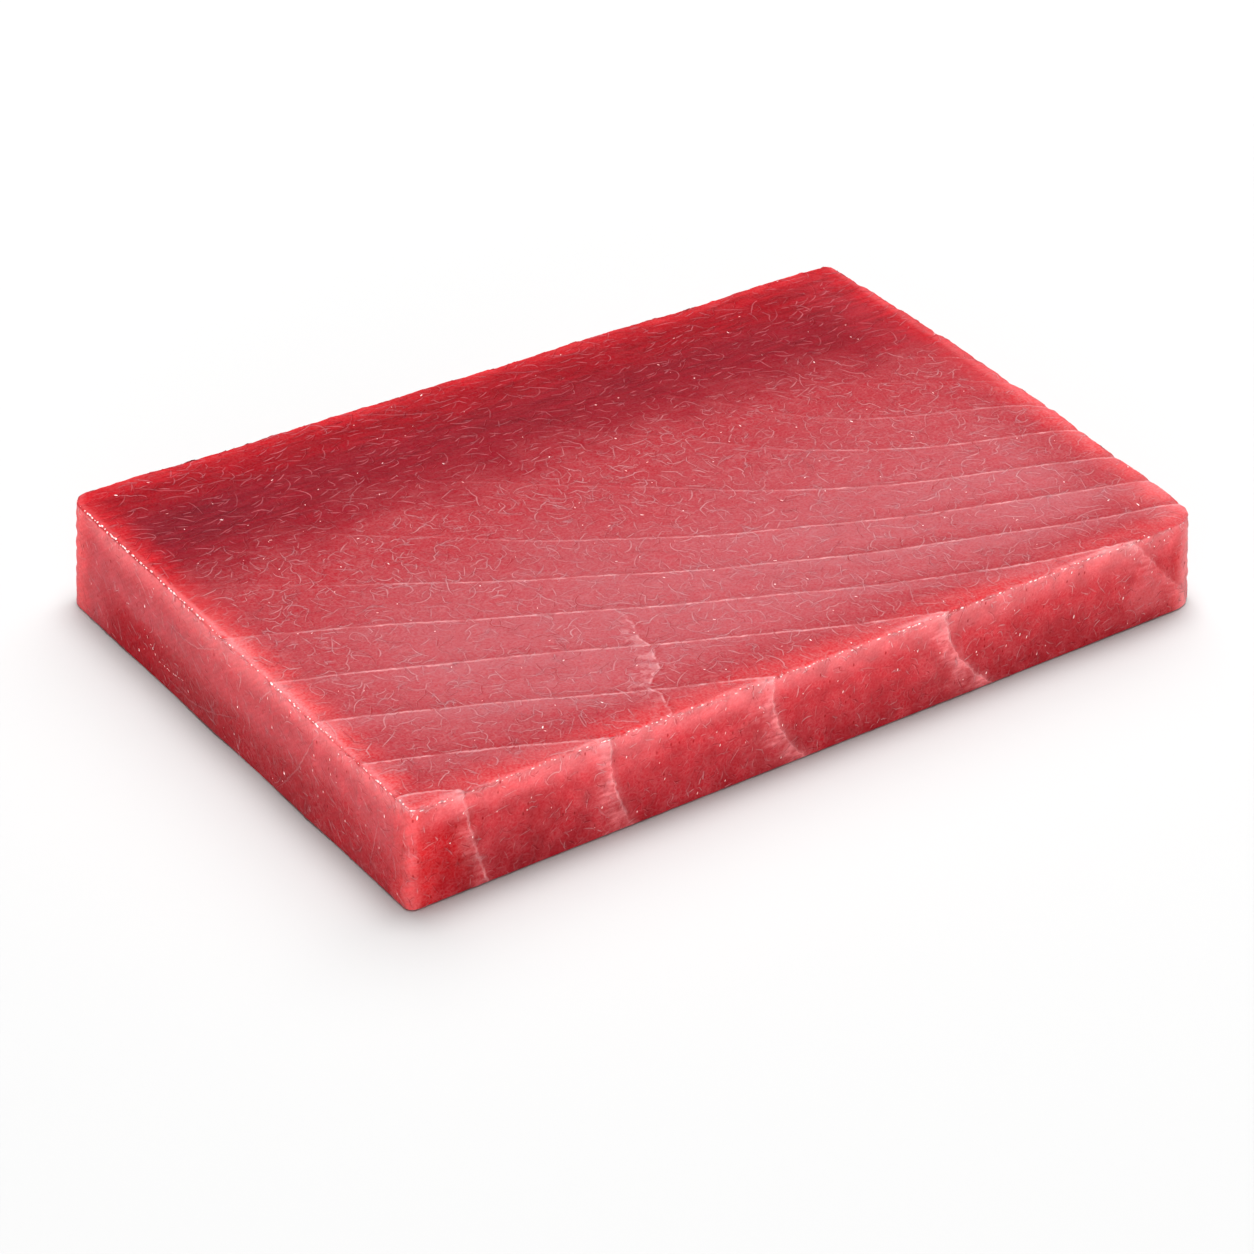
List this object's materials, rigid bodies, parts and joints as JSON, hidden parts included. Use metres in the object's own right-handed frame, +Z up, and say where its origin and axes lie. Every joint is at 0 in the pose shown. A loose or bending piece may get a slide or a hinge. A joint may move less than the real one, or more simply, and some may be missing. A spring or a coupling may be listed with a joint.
{
  "type": "raw tuna loin",
  "caption": "Raw red tuna loin cut by hand into a low flat block with softly rounded edges and slanting muscle bands, lying on its widest face.",
  "frame": {"origin": "middle of the base, on the surface that the block lies on", "axes": "+X along the long side, +Y across it towards the dark back, +Z up"},
  "size_m": [0.1936, 0.1322, 0.0238],
  "materials": {
    "raw_flesh": null
  },
  "bodies": {
    "root": {"tuna_loin": "raw_flesh"}
  },
  "joints": []
}
